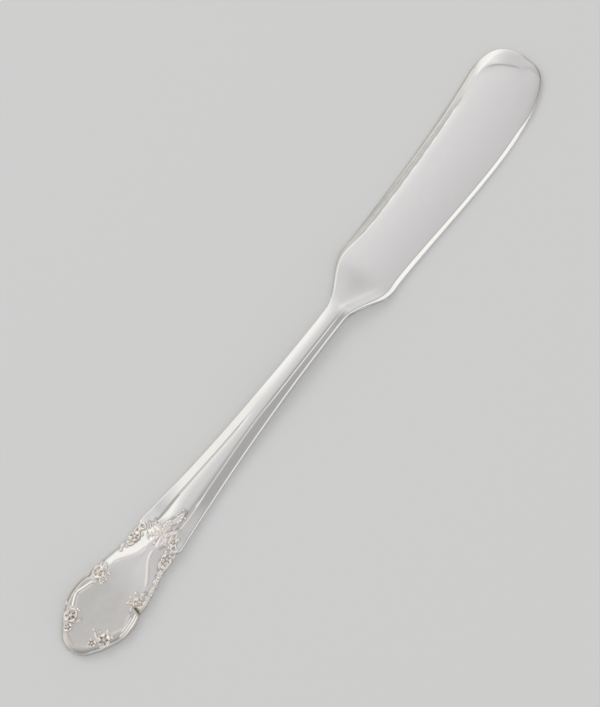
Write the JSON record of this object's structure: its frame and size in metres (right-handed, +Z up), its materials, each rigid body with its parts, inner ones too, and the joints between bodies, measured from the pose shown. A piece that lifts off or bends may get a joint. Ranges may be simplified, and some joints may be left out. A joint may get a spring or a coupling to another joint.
{
  "type": "butter knife",
  "caption": "Flat-handled butter spreader: scalloped handle end with a floral border, tapered panelled shaft, slim neck and short round-ended blade, scarfed and soldered at the neck.",
  "frame": {"origin": "under the middle of the part's box, on the surface that it lies on", "axes": "+X from the handle's tip to the blade's tip, +Y to the spine side, +Z up from the surface"},
  "size_m": [0.152, 0.0164, 0.0029],
  "materials": {
    "polished_silver": "polished",
    "cast_silver": "gloss",
    "silver_solder": "satin"
  },
  "bodies": {
    "root": {"handle": "polished_silver", "blade": "polished_silver", "neck_solder": "silver_solder", "tip_flowers_spine": "cast_silver", "tip_flowers_edge": "cast_silver", "waist_flowers_spine": "cast_silver", "waist_flowers_edge": "cast_silver", "shoulder_spray_spine": "cast_silver", "shoulder_spray_edge": "cast_silver", "collar_leaves": "cast_silver", "lower_rim_spine": "cast_silver", "lower_rim_edge": "cast_silver", "upper_rim_spine": "cast_silver", "upper_rim_edge": "cast_silver", "tip_rim": "cast_silver"}
  },
  "joints": []
}
